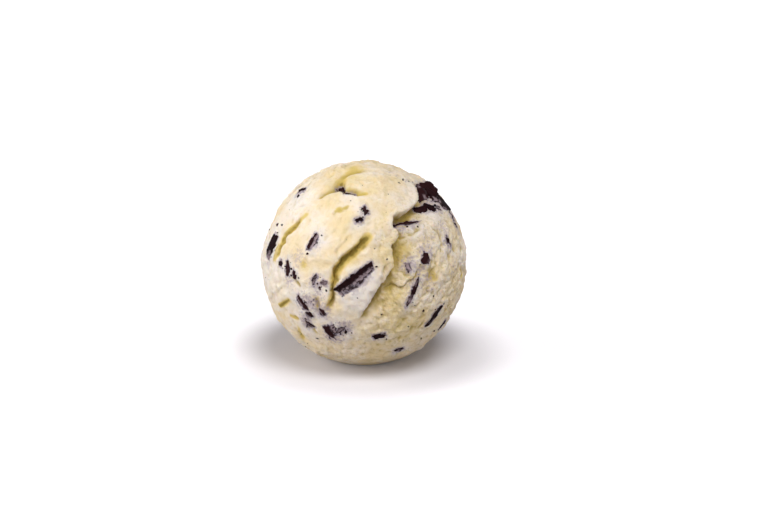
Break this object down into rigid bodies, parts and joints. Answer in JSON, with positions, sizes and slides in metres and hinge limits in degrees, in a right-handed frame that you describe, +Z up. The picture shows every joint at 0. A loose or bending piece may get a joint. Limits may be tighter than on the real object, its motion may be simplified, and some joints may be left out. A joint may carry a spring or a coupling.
{
  "type": "scoop of stracciatella ice cream",
  "caption": "Round scoop of cream-coloured ice cream with rolled folds, hollows, a crumbly grain and dark chocolate flakes frozen into it, on a small flat underside.",
  "frame": {"origin": "middle of the flat underside, on the surface that the scoop rests on", "axes": "+Z up; -Y is the front, the side with the long rolled fold; +X is to the right seen from the front"},
  "size_m": [0.0566, 0.0569, 0.0545],
  "materials": {
    "ice_cream": "soft matte frozen cream, a little translucent",
    "chocolate": "dark chocolate, broken edges with a thin milky film"
  },
  "bodies": {
    "root": {"scoop": "ice_cream"}
  },
  "joints": []
}
